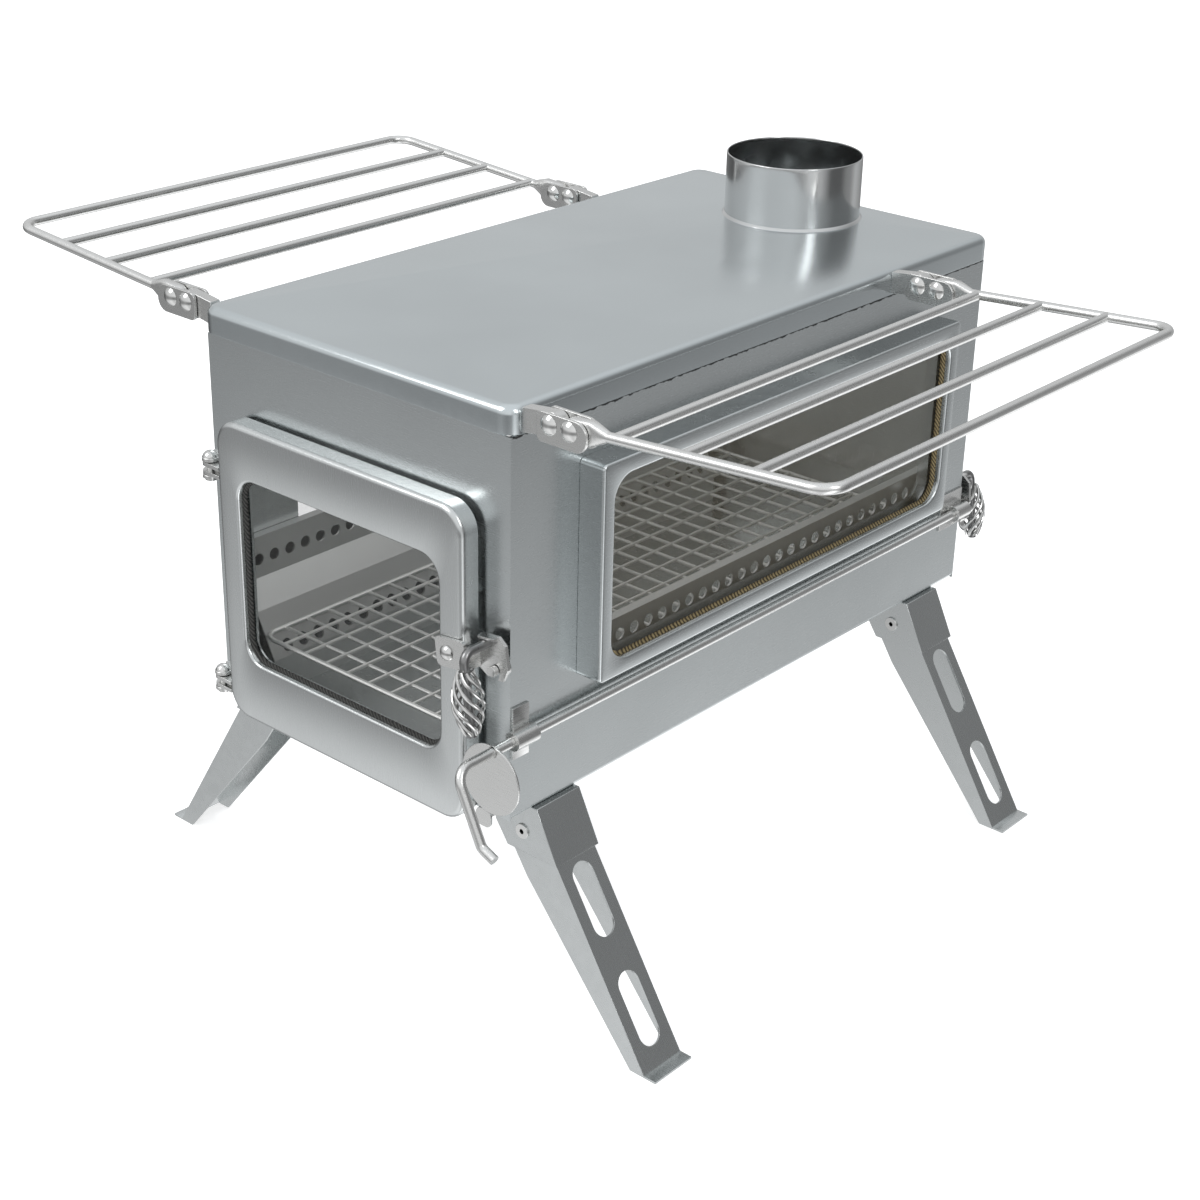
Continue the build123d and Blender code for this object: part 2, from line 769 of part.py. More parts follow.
def leg():
    """Channel leg with two long slots, a tapered flange each side and a foot tab."""
    head = leg_offset + leg_round
    top = -sqrt(head ** 2 - leg_offset ** 2)
    over = leg_reach + 12
    side = outline([
        leg_point(leg_offset, top), leg_point(leg_offset, over),
        leg_point(leg_offset - leg_foot_depth, over), leg_point(leg_offset - leg_foot_depth, leg_reach),
        leg_point(-head + 0.5, 22), leg_point(-head, 0),
    ])
    side += Pos(leg_x, -pivot_drop) * Circle(head)
    half = leg_width / 2
    body = slab_y(side, -half, half)
    hollow = outline([
        leg_point(leg_offset - leg_sheet, -40), leg_point(leg_offset - leg_sheet, over + 20),
        leg_point(-60, over + 20), leg_point(-60, -40),
    ])
    body -= slab_y(hollow, -half + leg_sheet, half - leg_sheet)
    body &= block(-half_x, 3 * half_x, -half, half, foot_z, 0)
    n, d = leg_frame()
    middle = Plane(origin=(leg_x, 0, -pivot_drop), x_dir=(0, 1, 0), z_dir=(n[0], 0, n[1]))
    for i in range(2):
        slot = Pos(0, -slot_start - i * slot_pitch) * Rot(0, 0, 90) * SlotOverall(slot_length, slot_width)
        body -= extrude(middle * slot, amount=leg_offset + 2)
    foot = leg_point(leg_offset, leg_reach)
    body += block(foot[0] - leg_sheet / 2, foot[0] + foot_tab, -half, half, foot_z, foot_z + leg_sheet)
    return body - slab_y(Pos(leg_x, -pivot_drop) * Circle(leg_pin / 2 + running), -half - 1, half + 1)


def leg_bracket():
    """Bent bracket under the floor that holds a leg and stops it when it is out."""
    lean = radians(bracket_lean)
    normal = (cos(lean), sin(lean))
    t = (bracket_drop - pivot_drop + leg_offset * sin(splay)) / cos(splay)
    stop = leg_point(leg_offset, t)
    stop = (stop[0] + side_gap / cos(lean), -bracket_drop)
    top_in = (stop[0] - bracket_drop * tan(lean), 0)
    skin = leg_sheet / cos(lean)
    half = leg_cheek + leg_sheet
    left = leg_x - leg_head - 5.5
    side = outline([
        (left, 0), (left, -pivot_drop), (left + 8, -bracket_drop),
        (stop[0] + skin, -bracket_drop), (top_in[0] + skin, 0),
    ])
    body = slab_y(side, -half, half)
    over = 40 * tan(lean)
    hollow = outline([
        (left - 5, -leg_sheet), (left - 5, -bracket_drop - 40),
        (stop[0] + over, -bracket_drop - 40), (top_in[0] + leg_sheet * tan(lean), -leg_sheet),
    ])
    body -= slab_y(hollow, -leg_cheek, leg_cheek)
    return body - slab_y(Pos(leg_x, -pivot_drop) * Circle(leg_pin / 2 + seat), -half - 1, half + 1)


def leg_rivet():
    """Hollow rivet that a leg turns on."""
    half = leg_cheek + leg_sheet
    return tube_rivet(leg_x, -pivot_drop, -half, half, leg_pin, 8, 0.9, 2.6)


def four_places(shape):
    """A right hand piece at the front and rear, and its left hand twins."""
    right = [Pos(0, front_leg_y, 0) * shape, Pos(0, rear_leg_y, 0) * shape]
    return right + mirror_x(right)


# Shelves, drawn for the right side

def shelf_ear():
    """Thick ear welded to the plate's skirt."""
    side = outline([
        (skirt_x, box_height - skirt_drop + 1), (ear_x, ear_z - ear_radius),
        (ear_x, ear_z + ear_radius), (skirt_x, box_height - 0.5),
    ])
    side += Pos(ear_x, ear_z) * Circle(ear_radius)
    hole = Pos(ear_x, ear_z) * Circle(rivet_pin / 2 + seat)
    return slab_y(side - hole, -ear_thick / 2, ear_thick / 2)


def link():
    """Channel link with two cheeks and a web below that stops the shelf."""
    low = ear_z - link_height + ear_radius
    length = link_root + link_span + link_end
    middle = ear_x - link_root + length / 2
    cheek = Pos(middle, low + link_height / 2) * RectangleRounded(length, link_height, 3)
    nose = RectangleRounded(length + 12, link_height, link_height * 0.45)
    cheek &= Pos(middle - 6, low + link_height / 2) * nose
    for x, gap in ((ear_x, running), (link_x, seat)):
        cheek -= Pos(x, ear_z) * Circle(rivet_pin / 2 + gap)
    outer = link_half + link_sheet
    body = slab_y(cheek, link_half, outer) + slab_y(cheek, -outer, -link_half)
    start, end = ear_x - link_root + 3.2, link_x + link_end - 7
    return body + block(start, end, -link_half, link_half, low, low + link_sheet)


def shelf_rivet(x):
    """Domed rivet through both cheeks of a link."""
    outer = link_half + link_sheet + 0.05
    return dome_rivet(x, ear_z, -outer, outer, rivet_pin, rivet_head, rivet_rise)


def shelf_rack():
    """Shelf of round bar with a flat lug at each end, tilted up outwards."""
    z = ear_z
    r = shelf_wire / 2
    root = link_x + link_end + 7
    outer = link_x + shelf_reach
    path = FilletPolyline(
        (root, front_hinge_y, z), (outer, front_hinge_y, z),
        (outer, rear_hinge_y, z), (root, rear_hinge_y, z), radius=shelf_corner)
    rack = sweep(Plane(origin=path @ 0, z_dir=path % 0) * Circle(r), path=path)
    for i in range(shelf_bars):
        x = link_x + shelf_bar_start + i * shelf_bar_pitch
        bar = Rot(90, 0, 0) * Cylinder(r - 0.1, shelf_depth)
        rack += Pos(x, (front_hinge_y + rear_hinge_y) / 2, z) * bar
    for y in (front_hinge_y, rear_hinge_y):
        lug = outline([
            (link_x, z - ear_radius), (link_x + link_end + 1, z - ear_radius), (root + 1.5, z - r),
            (root + 1.5, z + r), (link_x + link_end + 1, z + ear_radius), (link_x, z + ear_radius),
        ])
        lug += Pos(link_x, z) * Circle(ear_radius)
        lug -= Pos(link_x, z) * Circle(rivet_pin / 2 + running)
        rack += slab_y(lug, y - ear_thick / 2, y + ear_thick / 2)
    tilt = Pos(link_x, 0, z) * Rot(0, -shelf_tilt, 0) * Pos(-link_x, 0, -z)
    return tilt * rack


def at_hinges(shape):
    """A shelf piece at the front and rear hinge."""
    return [Pos(0, y, 0) * shape for y in (front_hinge_y, rear_hinge_y)]


# Crank rod

def side_rod():
    """Round rod along the right wall with its crank at the front."""
    front = -half_y - crank_out
    path = FilletPolyline(
        (rod_x, half_y + rod_beyond, rod_height), (rod_x, front, rod_height),
        (rod_x + crank_right, front, rod_height - crank_drop),
        (rod_x + crank_right + tip_right, front, rod_height - crank_drop - tip_drop), radius=(8, 5))
    return sweep(Plane(origin=path @ 0, z_dir=path % 0) * Circle(rod_pin / 2), path=path)


def rod_disc():
    """Keeper disc on the rod, hung by a hole near its rim."""
    face = Pos(rod_x - disc_side, rod_height - disc_hang) * Circle(disc_radius)
    face -= Pos(rod_x, rod_height) * Circle(rod_pin / 2 + seat)
    y = -half_y - disc_out
    return slab_y(face, y - disc_sheet, y)


def rod_eye(y0, y1):
    """Rolled eye round the rod, flat against the wall."""
    ring = Circle(rod_pin / 2 + ring_wall) - Circle(rod_pin / 2 + running)
    eye = slab_y(Pos(rod_x, rod_height) * ring, y0, y1)
    return eye & block(half_x, half_x + 60, y0, y1, 0, box_height)


def rod_ring():
    """Front eye on its small plate."""
    y0 = -half_y - 2.9
    plate = block(half_x, half_x + 1, -half_y + 1, y0 + ring_length, rod_height - 12.5, rod_height + 14.5)
    bore = slab_y(Pos(rod_x, rod_height) * Circle(rod_pin / 2 + running), -half_y, half_y)
    return rod_eye(y0, y0 + ring_length) + plate - bore


def rod_strap():
    """Rear strap with an eye and a curled tail."""
    y1 = half_y - 0.5
    y0 = y1 - strap_length
    plate = block(half_x, half_x + 1, y0 - 8, y1, rod_height - 9.5, rod_height + 12.5)
    bore = slab_y(Pos(rod_x, rod_height) * Circle(rod_pin / 2 + running), y0 - 9, y1 + 1)
    low = rod_height - rod_pin / 2 - ring_wall
    tail = Pos(rod_x + 3.5, low - 3.2) * (Circle(4.4) - Circle(3.2))
    tail &= Pos(rod_x + 3.5 - 10, low - 3.2 - 5) * Rectangle(20, 18)
    tail = slab_y(tail, y1 - 4, y1)
    eye = rod_eye(y0, y1)
    return eye + plate + tail - bore


# Writing

def at_front(shape):
    """Moves a door piece to the front panel."""
    return Pos(0, -half_y, 0) * shape


def at_rear(shape):
    """Moves a door piece to the rear panel as its twin."""
    return Pos(0, half_y, 0) * mirror(shape, about=Plane.XZ)


nodes = {}
nodes["body_shell"] = [body_shell()]
nodes["front_panel"] = [panel(front_door_bottom, front_door_height)]
nodes["rear_panel"] = [mirror(panel(rear_door_bottom, rear_door_height), about=Plane.XZ)]
nodes["top_plate"] = [top_plate()]
nodes["flue_collar"] = [flue_collar()]
nodes["flue_weld_bead"] = [flue_weld()]
nodes["smoke_baffle"] = [smoke_baffle()]
nodes["baffle_rails"] = baffle_rails()
nodes["liner_right"] = [liners()]
nodes["liner_left"] = mirror_x([liners()])
nodes["grate"] = [grate()]
nodes["air_slide"] = [air_slide()]
nodes["slide_rivets"] = slide_rivets()

for name, piece in (("frame", window_frame()), ("rope", window_rope(*side_window())),
                    ("glass", window_glass(*side_window())), ("retainer", window_retainer())):
    nodes["window_" + name + "_right"] = [to_right(piece)]
    nodes["window_" + name + "_left"] = mirror_x([to_right(piece)])

front_hinges = [front_door_bottom + front_door_height - upper_hinge_from_top,
                front_door_bottom + lower_hinge_from_bottom]
rear_hinges = [rear_door_bottom + rear_door_height - rear_hinge_from_edge - hinge_height,
               rear_door_bottom + rear_hinge_from_edge]
doors = (
    ("front", at_front, front_door_bottom, front_door_height, front_latch_height, front_hinges, True),
    ("rear", at_rear, rear_door_bottom, rear_door_height, rear_latch_height, rear_hinges, False),
)
for shared in ("hinge_brackets", "hinge_pins", "latch_studs", "stud_washers"):
    nodes[shared] = []
for end, place, bottom, height, latch_z, hinges, window in doors:
    nodes[end + "_door"] = [place(door_pan(bottom, height, latch_z, window))]
    nodes[end + "_door_ears"] = [place(hinge_ear(z)) for z in hinges]
    nodes["hinge_brackets"] += [place(hinge_body(z)) for z in hinges]
    nodes["hinge_pins"] += [place(hinge_pin_piece(z)) for z in hinges]
    nodes["latch_studs"] += [place(latch_stud(latch_z))]
    nodes["stud_washers"] += [place(stud_washer(latch_z))]
    nodes[end + "_latch_lever"] = [place(latch_lever(latch_z))]
    nodes[end + "_latch_rivet"] = [place(latch_rivet(latch_z))]
    nodes[end + "_handle_shank"] = [place(handle_shank(latch_z))]
    nodes[end + "_handle_cage"] = [place(wire) for wire in handle_cage(latch_z)]
nodes["door_glass"] = [at_front(window_glass(*door_window()))]
nodes["door_glass_rope"] = [at_front(window_rope(*door_window()))]
nodes["door_glass_retainer"] = [at_front(glass_retainer())]
nodes["door_retainer_studs"] = [at_front(stud) for stud in retainer_studs()]

legs = four_places(leg())
for name, piece in zip(("front_right", "rear_right", "front_left", "rear_left"), legs):
    nodes["leg_" + name] = [piece]
nodes["leg_brackets"] = four_places(leg_bracket())
nodes["leg_rivets"] = four_places(leg_rivet())

right_ears = at_hinges(shelf_ear())
nodes["shelf_ears"] = right_ears + mirror_x(right_ears)
ear_rivets = at_hinges(shelf_rivet(ear_x))
nodes["shelf_ear_rivets"] = ear_rivets + mirror_x(ear_rivets)
nodes["shelf_links_right"] = at_hinges(link())
nodes["shelf_links_left"] = mirror_x(at_hinges(link()))
nodes["link_rivets_right"] = at_hinges(shelf_rivet(link_x))
nodes["link_rivets_left"] = mirror_x(at_hinges(shelf_rivet(link_x)))
nodes["shelf_right"] = [shelf_rack()]
nodes["shelf_left"] = mirror_x([shelf_rack()])

nodes["side_rod"] = [side_rod()]
nodes["rod_disc"] = [rod_disc()]
nodes["rod_ring"] = [rod_ring()]
nodes["rod_strap"] = [rod_strap()]

front_reach = half_y + crank_out + rod_pin / 2
rear_reach = half_y + handle_out + handle_radius
stand = Pos(0, (front_reach - rear_reach) / 2, -foot_z)
for name, pieces in nodes.items():
    solids = [solid for piece in pieces for solid in (stand * piece).solids()]
    export_step(Compound(solids) if len(solids) > 1 else solids[0], "parts/" + name + ".step")
print("nodes", len(nodes))
print("moved", round((front_reach - rear_reach) / 2, 3), round(-foot_z, 3))
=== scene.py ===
import json
import bpy
import bmesh
import numpy as np
from mathutils import Matrix, Vector


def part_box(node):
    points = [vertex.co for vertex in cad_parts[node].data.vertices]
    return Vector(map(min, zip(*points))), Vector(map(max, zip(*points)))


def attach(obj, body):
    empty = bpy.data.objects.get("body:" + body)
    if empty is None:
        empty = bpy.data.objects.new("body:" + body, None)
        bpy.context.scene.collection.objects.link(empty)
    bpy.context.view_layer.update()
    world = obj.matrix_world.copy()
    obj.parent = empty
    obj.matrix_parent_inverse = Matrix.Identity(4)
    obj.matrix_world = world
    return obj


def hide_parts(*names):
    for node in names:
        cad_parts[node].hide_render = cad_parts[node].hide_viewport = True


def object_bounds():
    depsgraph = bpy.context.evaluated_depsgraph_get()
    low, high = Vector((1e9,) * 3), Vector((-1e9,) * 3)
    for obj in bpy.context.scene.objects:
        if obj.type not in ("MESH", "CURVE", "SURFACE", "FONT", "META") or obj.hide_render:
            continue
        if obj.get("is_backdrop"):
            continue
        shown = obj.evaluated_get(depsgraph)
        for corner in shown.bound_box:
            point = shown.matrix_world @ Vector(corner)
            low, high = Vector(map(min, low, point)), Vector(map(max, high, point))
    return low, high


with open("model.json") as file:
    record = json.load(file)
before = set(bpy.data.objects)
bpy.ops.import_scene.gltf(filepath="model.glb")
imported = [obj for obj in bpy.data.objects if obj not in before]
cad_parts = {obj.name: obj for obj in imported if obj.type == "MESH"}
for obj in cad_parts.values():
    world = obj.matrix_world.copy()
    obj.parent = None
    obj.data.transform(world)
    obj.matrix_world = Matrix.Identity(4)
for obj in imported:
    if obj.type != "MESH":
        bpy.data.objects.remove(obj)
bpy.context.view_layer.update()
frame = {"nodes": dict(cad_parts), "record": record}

# Studio. The stove stands on a plain white sweep under soft light from large panels, seen from the
# front right corner and a little above, as it was photographed.
camera_data = bpy.data.cameras.new("camera")
camera_data.sensor_width = 36.0
camera_data.lens = 64.881
camera = bpy.data.objects.new("camera", camera_data)
bpy.context.scene.collection.objects.link(camera)
camera_place = Vector((0.703897, -0.822597, 0.656777))
azimuth, elevation, roll = np.radians([40.711, 25.496, 1.322])
forward = np.array([-np.sin(azimuth) * np.cos(elevation), np.cos(azimuth) * np.cos(elevation),
                    -np.sin(elevation)])
right = np.cross(forward, [0, 0, 1.0])
right /= np.linalg.norm(right)
up = np.cross(right, forward)
tilted_right = right * np.cos(roll) + up * np.sin(roll)
tilted_up = up * np.cos(roll) - right * np.sin(roll)
stand = Matrix(np.column_stack([tilted_right, tilted_up, -forward]).tolist()).to_4x4()
stand.translation = camera_place
camera.matrix_world = stand
bpy.context.scene.camera = camera
bpy.context.scene.view_settings.view_transform = "Standard"

world = bpy.data.worlds.new("studio")
world.use_nodes = True
bpy.context.scene.world = world
tree = world.node_tree
tree.nodes.clear()


def add(nodes, kind, **settings):
    """One node of a tree. A setting in_N is the plain value of input socket N, and any other setting
    is an attribute. A map range reads from in_1 to in_2 and gives in_3 to in_4, or 0 to 1."""
    node = nodes.new(kind)
    for key, value in settings.items():
        if key.startswith("in_"):
            node.inputs[int(key[3:])].default_value = value
        else:
            setattr(node, key, value)
    return node


direction = add(tree.nodes, "ShaderNodeTexCoord")
parts = add(tree.nodes, "ShaderNodeSeparateXYZ")
turn = add(tree.nodes, "ShaderNodeMath", operation="ARCTAN2")
around = add(tree.nodes, "ShaderNodeMapRange", in_1=-np.pi, in_2=np.pi)
tree.links.new(direction.outputs["Generated"], parts.inputs[0])
tree.links.new(parts.outputs[1], turn.inputs[0])
tree.links.new(parts.outputs[0], turn.inputs[1])
tree.links.new(turn.outputs[0], around.inputs[0])


def stops(nodes, levels):
    """A colour ramp through brightness levels, each given with its place. The room's light is a touch
    cooler than white."""
    tint = (1.0, 1.01, 1.02)
    ramp = add(nodes, "ShaderNodeValToRGB")
    while len(ramp.color_ramp.elements) < len(levels):
        ramp.color_ramp.elements.new(0.5)
    for element, (place, level) in zip(ramp.color_ramp.elements, levels):
        element.position = place
        element.color = (level * tint[0], level * tint[1], level * tint[2], 1)
    return ramp


# Brightness of the room by compass bearing, from straight left round by the front, right and rear, for
# the sweep near the ground and for the walls above. The sweep gets brighter straight down.
low_levels = [(0.0, 0.16), (0.05, 0.30), (0.10, 0.52), (0.14, 0.50), (0.22, 0.62), (0.32, 0.42),
              (0.39, 0.55), (0.437, 1.5), (0.475, 1.0), (0.53, 0.20), (0.59, 0.20), (0.625, 0.46),
              (0.66, 0.52), (0.70, 0.95), (0.78, 0.5), (1.0, 0.16)]
high_levels = [(0.0, 0.60), (0.12, 0.75), (0.25, 0.85), (0.36, 0.95), (0.46, 0.55), (0.56, 0.22),
               (0.66, 0.24), (0.74, 0.52), (0.82, 0.62), (0.92, 0.66), (1.0, 0.60)]
low_panels = stops(tree.nodes, low_levels)
high_panels = stops(tree.nodes, high_levels)
tree.links.new(around.outputs[0], low_panels.inputs[0])
tree.links.new(around.outputs[0], high_panels.inputs[0])
deep = add(tree.nodes, "ShaderNodeMapRange", in_1=-0.34, in_2=-0.56, in_3=0.62, in_4=1.75)
deepened = add(tree.nodes, "ShaderNodeMix", data_type="RGBA", blend_type="MULTIPLY", in_0=1.0,
               clamp_result=False)
lift = add(tree.nodes, "ShaderNodeMapRange", in_1=-0.12, in_2=0.12)
panels = add(tree.nodes, "ShaderNodeMix", data_type="RGBA")
tree.links.new(parts.outputs[2], deep.inputs[0])
tree.links.new(low_panels.outputs[0], deepened.inputs[6])
tree.links.new(deep.outputs[0], deepened.inputs[7])
tree.links.new(parts.outputs[2], lift.inputs[0])
tree.links.new(lift.outputs[0], panels.inputs[0])
tree.links.new(deepened.outputs[2], panels.inputs[6])
tree.links.new(high_panels.outputs[0], panels.inputs[7])
height = add(tree.nodes, "ShaderNodeMapRange", in_1=0.45, in_2=0.9)
ceiling = add(tree.nodes, "ShaderNodeMix", data_type="RGBA")
ceiling.inputs[7].default_value = (0.9, 0.92, 0.94, 1)
tree.links.new(parts.outputs[2], height.inputs[0])
tree.links.new(height.outputs[0], ceiling.inputs[0])
tree.links.new(panels.outputs[2], ceiling.inputs[6])

# The camera itself sees plain white. The room shows only in what the stove mirrors, and lights it.
room = add(tree.nodes, "ShaderNodeBackground")
white = add(tree.nodes, "ShaderNodeBackground", in_0=(1, 1, 1, 1))
rays = add(tree.nodes, "ShaderNodeLightPath")
seen = add(tree.nodes, "ShaderNodeMixShader")
output = add(tree.nodes, "ShaderNodeOutputWorld")
tree.links.new(ceiling.outputs[2], room.inputs[0])
tree.links.new(rays.outputs[0], seen.inputs[0])
tree.links.new(room.outputs[0], seen.inputs[1])
tree.links.new(white.outputs[0], seen.inputs[2])
tree.links.new(seen.outputs[0], output.inputs[0])

floor_half = 6
floor_mesh = bpy.data.meshes.new("floor")
floor_mesh.from_pydata([(-floor_half, -floor_half, 0), (floor_half, -floor_half, 0),
                        (floor_half, floor_half, 0), (-floor_half, floor_half, 0)], [], [(0, 1, 2, 3)])
floor = bpy.data.objects.new("floor", floor_mesh)
bpy.context.scene.collection.objects.link(floor)
floor_paint = bpy.data.materials.new("floor_white")
floor_paint.use_nodes = True
shader = floor_paint.node_tree.nodes["Principled BSDF"]
shader.inputs["Base Color"].default_value = (0.9, 0.9, 0.9, 1)
shader.inputs["Roughness"].default_value = 0.9
shader.inputs["Emission Color"].default_value = (1, 1, 1, 1)
shader.inputs["Emission Strength"].default_value = 0.62
floor_mesh.materials.append(floor_paint)
floor.visible_glossy = False
floor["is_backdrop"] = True


def soft_panel(name, place, aim, size, power):
    """An oblong area light at place that faces aim."""
    data = bpy.data.lights.new(name, "AREA")
    data.shape = "RECTANGLE"
    data.size, data.size_y = size
    data.energy = power
    lamp = bpy.data.objects.new(name, data)
    bpy.context.scene.collection.objects.link(lamp)
    facing = (Vector(aim) - Vector(place)).to_track_quat("-Z", "Y").to_matrix().to_4x4()
    lamp.matrix_world = Matrix.Translation(place) @ facing
    return lamp


# The lamp inside the firebox stands in for the daylight that falls through the windows.
soft_panel("key_panel", place=(-0.9, -1.6, 1.9), aim=(0, 0, 0.2), size=(1.2, 1.2), power=16)
soft_panel("side_panel", place=(1.9, -0.5, 1.6), aim=(0, 0, 0.2), size=(0.5, 1.2), power=8)
inside = soft_panel("inside_fill", place=(0, 0.0, 0.29), aim=(0, 0.001, 0.1), size=(0.16, 0.34),
                    power=0.11)
inside.visible_camera = False


# Floor, side walls and end panels of the firebox. They are 1 mm stainless sheet, bent and spot welded,
# with a fine brushed grain and a few soft waves from the bending.
def steel(name, colour, rough, grain, grain_size=160.0, wave=0.12, bump=0.02, seam=None):
    """Brushed metal: stretched noise varies the gloss and the bump, and broad noise the tone. A seam is
    a thin dark uneven line at that height, the row of spot welds under the plate's skirt."""
    stain = 0.06
    paint = bpy.data.materials.new(name)
    paint.use_nodes = True
    nodes, links = paint.node_tree.nodes, paint.node_tree.links
    shader = nodes["Principled BSDF"]
    shader.inputs["Metallic"].default_value = 1.0
    place = add(nodes, "ShaderNodeTexCoord")
    stretch = add(nodes, "ShaderNodeMapping")
    stretch.inputs["Scale"].default_value = grain
    fine = add(nodes, "ShaderNodeTexNoise")
    fine.inputs["Scale"].default_value = grain_size
    fine.inputs["Detail"].default_value = 6.0
    fine.inputs["Roughness"].default_value = 0.7
    broad = add(nodes, "ShaderNodeTexNoise")
    broad.inputs["Scale"].default_value = 7.0
    broad.inputs["Detail"].default_value = 3.0
    gloss = add(nodes, "ShaderNodeMapRange", in_1=0.25, in_2=0.75, in_3=rough * 0.8, in_4=rough * 1.25)
    tone = add(nodes, "ShaderNodeMapRange", in_1=0.3, in_2=0.7, in_3=1.0 - stain, in_4=1.0 + stain)
    colour_node = add(nodes, "ShaderNodeMix", data_type="RGBA", blend_type="MULTIPLY", in_0=1.0)
    colour_node.inputs[6].default_value = (*colour, 1)
    bumps = add(nodes, "ShaderNodeBump")
    bumps.inputs["Strength"].default_value = bump
    bumps.inputs["Distance"].default_value = 0.0004
    waves = add(nodes, "ShaderNodeBump")
    waves.inputs["Strength"].default_value = wave
    waves.inputs["Distance"].default_value = 0.002
    links.new(place.outputs["Object"], stretch.inputs[0])
    links.new(place.outputs["Object"], broad.inputs[0])
    links.new(stretch.outputs[0], fine.inputs[0])
    links.new(fine.outputs[0], gloss.inputs[0])
    links.new(broad.outputs[0], tone.inputs[0])
    links.new(tone.outputs[0], colour_node.inputs[7])
    links.new(gloss.outputs[0], shader.inputs["Roughness"])
    if seam is None:
        links.new(colour_node.outputs[2], shader.inputs["Base Color"])
    else:
        ragged_by, dark_to, clear_from, darkest = 0.0028, 0.0003, 0.0008, 0.10
        split = add(nodes, "ShaderNodeSeparateXYZ")
        rag = add(nodes, "ShaderNodeTexNoise")
        rag.inputs["Scale"].default_value = 260.0
        ragged = add(nodes, "ShaderNodeMath", operation="MULTIPLY_ADD", in_1=ragged_by,
                     in_2=-seam - ragged_by / 2)
        off = add(nodes, "ShaderNodeMath", operation="ADD")
        away = add(nodes, "ShaderNodeMath", operation="ABSOLUTE")
        line = add(nodes, "ShaderNodeMapRange", in_1=dark_to, in_2=clear_from, in_3=darkest, in_4=1.0)
        joint = add(nodes, "ShaderNodeMix", data_type="RGBA", blend_type="MULTIPLY", in_0=1.0)
        links.new(place.outputs["Object"], split.inputs[0])
        links.new(place.outputs["Object"], rag.inputs[0])
        links.new(rag.outputs[0], ragged.inputs[0])
        links.new(split.outputs[2], off.inputs[0])
        links.new(ragged.outputs[0], off.inputs[1])
        links.new(off.outputs[0], away.inputs[0])
        links.new(away.outputs[0], line.inputs[0])
        links.new(colour_node.outputs[2], joint.inputs[6])
        links.new(line.outputs[0], joint.inputs[7])
        links.new(joint.outputs[2], shader.inputs["Base Color"])
    links.new(broad.outputs[0], waves.inputs["Height"])
    links.new(fine.outputs[0], bumps.inputs["Height"])
    links.new(waves.outputs[0], bumps.inputs["Normal"])
    links.new(bumps.outputs[0], shader.inputs["Normal"])
    return paint


def dress(node, paint):
    """Gives a CAD node its finish."""
    mesh = frame["nodes"][node].data
    mesh.materials.clear()
    mesh.materials.append(paint)


wall_colour, wall_rough, wall_grain, seam_drop = (0.62, 0.65, 0.655), 0.24, (1, 1, 24), 0.0013
wall_steel = steel("wall_steel", wall_colour, wall_rough, grain=wall_grain)
seamed_steel = steel("seamed_steel", wall_colour, wall_rough, grain=wall_grain,
                     seam=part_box("top_plate")[0].z - seam_drop)
dress("body_shell", seamed_steel)
for node in ("front_panel", "rear_panel"):
    dress(node, wall_steel)


# Cooking plate. One 1.5 mm sheet with rounded corners and a skirt turned down all round, pressed with
# a soft bend, and a hole towards the rear for the flue collar.
def rounded_loop(half_w, half_h, corner, arc=10):
    """Points of a rounded rectangle, corner by corner: centre of each corner plus its radius times
    cosine and sine of the angle, with arc steps in each quarter turn."""
    angle = np.linspace(0, np.pi / 2, arc + 1)
    loops = []
    for k, (sx, sy) in enumerate(((1, 1), (-1, 1), (-1, -1), (1, -1))):
        turn = angle + k * np.pi / 2
        loops.append(np.column_stack([sx * (half_w - corner) + corner * np.cos(turn),
                                      sy * (half_h - corner) + corner * np.sin(turn)]))
    return np.concatenate(loops)


def ring_faces(rows, columns, close_rows):
    """Quads of a grid whose columns close on themselves, and whose rows may too."""
    r = np.arange(rows if close_rows else rows - 1)[:, None]
    c = np.arange(columns)[None, :]
    row, next_row, next_c = r * columns, (r + 1) % rows * columns, (c + 1) % columns
    return np.stack([row + c, row + next_c, next_row + next_c, next_row + c], -1).reshape(-1, 4)


bodies = frame["record"]["behaviour"]["bodies"]
body_of_node = {node: body for body, group in bodies.items() for node in group}


def piece(name, points, faces, paint, node):
    """A mesh object from arrays, smooth but for its sharp edges, that stands for a CAD node."""
    mesh = bpy.data.meshes.new(name)
    mesh.from_pydata(np.asarray(points).tolist(), [], [tuple(face) for face in faces])
    mesh.validate()
    shell = bmesh.new()
    shell.from_mesh(mesh)
    bmesh.ops.recalc_face_normals(shell, faces=shell.faces)
    shell.to_mesh(mesh)
    shell.free()
    mesh.shade_smooth()
    mesh.set_sharp_from_angle(angle=np.radians(35.0))
    mesh.materials.append(paint)
    made = bpy.data.objects.new(name, mesh)
    bpy.context.scene.collection.objects.link(made)
    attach(made, body_of_node[node])
    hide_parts(node)


plate_low, plate_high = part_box("top_plate")
mid_y = (plate_low.y + plate_high.y) / 2
top_z = plate_high.z
half_w, half_l = plate_high.x, (plate_high.y - plate_low.y) / 2
collar_low, collar_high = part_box("flue_collar")
flue_y = (collar_low.y + collar_high.y) / 2
flue_r = collar_high.x
bend, sheet, corner, least_corner, broken, seat = 0.0045, 0.0015, 0.009, 0.002, 0.0003, 5e-5
outer = []
for a in np.linspace(0, np.pi / 2, 7):
    outer.append((bend * (1 - np.sin(a)), top_z - bend * (1 - np.cos(a))))
outer += [(0.0, plate_low.z + broken), (broken, plate_low.z)]
inner = [(sheet, plate_low.z), (sheet, top_z - bend)]
for a in np.linspace(0.3, np.pi / 2, 4):
    inner.append((sheet + (bend - sheet) * (1 - np.cos(a)), top_z - bend + (bend - sheet) * np.sin(a)))
rings = []
